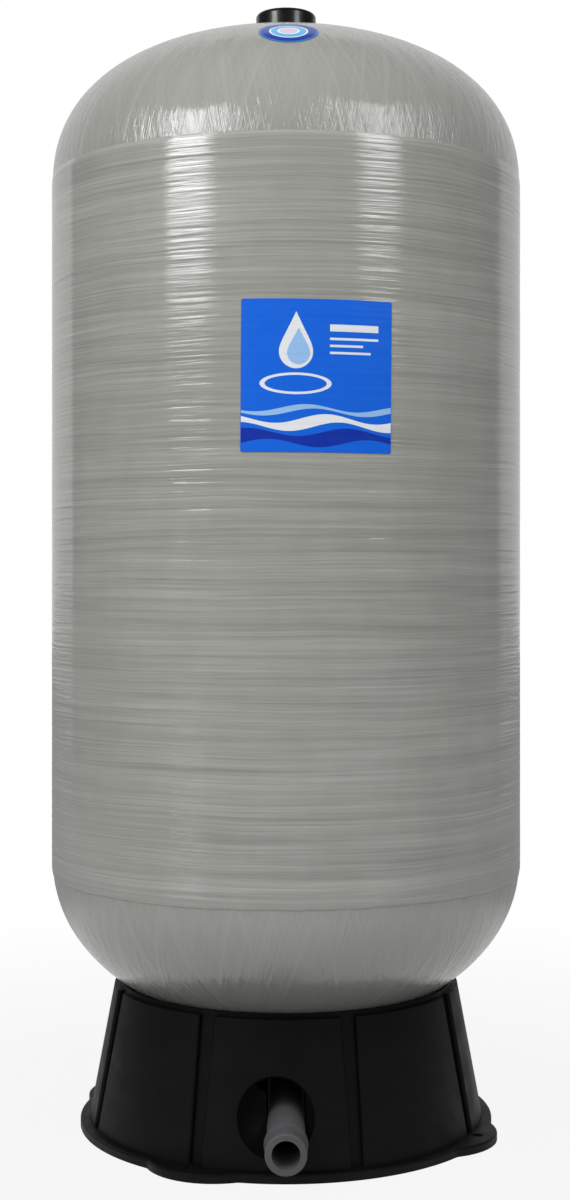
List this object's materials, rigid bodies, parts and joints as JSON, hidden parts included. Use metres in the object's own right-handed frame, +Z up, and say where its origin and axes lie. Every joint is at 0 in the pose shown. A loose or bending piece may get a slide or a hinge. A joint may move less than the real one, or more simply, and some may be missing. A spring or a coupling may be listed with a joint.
{
  "type": "diaphragm pressure tank",
  "caption": "Upright wound composite water tank with an inner rubber diaphragm, a screw cap over its air valve, and a skirt base with a threaded outlet pipe.",
  "frame": {"origin": "on the tank's axis at floor level, the centre of the base's four floor bolts", "axes": "+Z up along the tank's axis, -Y the way the outlet pipe points"},
  "size_m": [0.5299, 0.556, 1.2569],
  "materials": {
    "glass_winding": "clear glossy resin over grey-beige wound glass fibre",
    "liner_plastic": "natural polypropylene",
    "butyl_rubber": "smooth moulded rubber",
    "boss_plastic": "moulded polypropylene",
    "valve_brass": "turned brass",
    "seal_rubber": "smooth moulded rubber",
    "spring_steel": "drawn spring wire",
    "cap_plastic": "glossy black moulded plastic",
    "pipe_plastic": "grey moulded plastic",
    "nut_plastic": "black moulded plastic",
    "base_plastic": "satin black moulded polypropylene",
    "label_film": "printed film",
    "sticker_film": "printed film"
  },
  "bodies": {
    "tank": {"winding_shell": "glass_winding", "upper_liner": "liner_plastic", "lower_liner": "liner_plastic", "clamp_ring": "liner_plastic", "valve_boss": "boss_plastic", "water_boss": "boss_plastic", "air_valve_body": "valve_brass", "air_valve_o_ring": "seal_rubber", "valve_core_barrel": "valve_brass", "valve_core_spring": "spring_steel", "outlet_elbow": "pipe_plastic", "elbow_o_ring": "seal_rubber", "elbow_union_nut": "nut_plastic", "skirt_base": "base_plastic", "body_label": "label_film", "dome_sticker": "sticker_film"},
    "diaphragm": {"diaphragm": "butyl_rubber"},
    "core_pin": {"valve_core_pin": "valve_brass", "valve_core_seal": "seal_rubber"},
    "dust_cap_washer": {"dust_cap_seal": "seal_rubber"},
    "dust_cap": {"dust_cap": "cap_plastic"},
    "cap_washer": {"cover_cap_washer": "seal_rubber"},
    "cover_cap": {"cover_cap": "cap_plastic"}
  },
  "joints": [
    {"name": "diaphragm_stroke", "type": "slide", "parent": "tank", "child": "diaphragm", "axis": [0, 0, 1], "range_m": [0, 0.42], "deforming": ["diaphragm"]},
    {"name": "core_pin_press", "type": "slide", "parent": "tank", "child": "core_pin", "axis": [0, 0, -1], "range_m": [0, 0.0015], "stiffness_N_per_m": 1500, "springref_m": -0.002, "deforming": ["valve_core_spring"]},
    {"name": "dust_cap_lift", "type": "slide", "parent": "tank", "child": "dust_cap_washer", "axis": [0, 0, 1], "range_m": [0, 0.004]},
    {"name": "dust_cap_turn", "type": "hinge", "parent": "dust_cap_washer", "child": "dust_cap", "pos_m": [0, 0, 1.24], "axis": [0, 0, 1], "range_deg": [0, 1800]},
    {"name": "cover_cap_lift", "type": "slide", "parent": "tank", "child": "cap_washer", "axis": [0, 0, 1], "range_m": [0, 0.012]},
    {"name": "cover_cap_turn", "type": "hinge", "parent": "cap_washer", "child": "cover_cap", "pos_m": [0, 0, 1.24], "axis": [0, 0, 1], "range_deg": [0, 1080]}
  ],
  "couplings": [
    {"joint": "dust_cap_lift", "follows": "dust_cap_turn", "m_per_rad": 0.00012732},
    {"joint": "cover_cap_lift", "follows": "cover_cap_turn", "m_per_rad": 0.00063662}
  ]
}
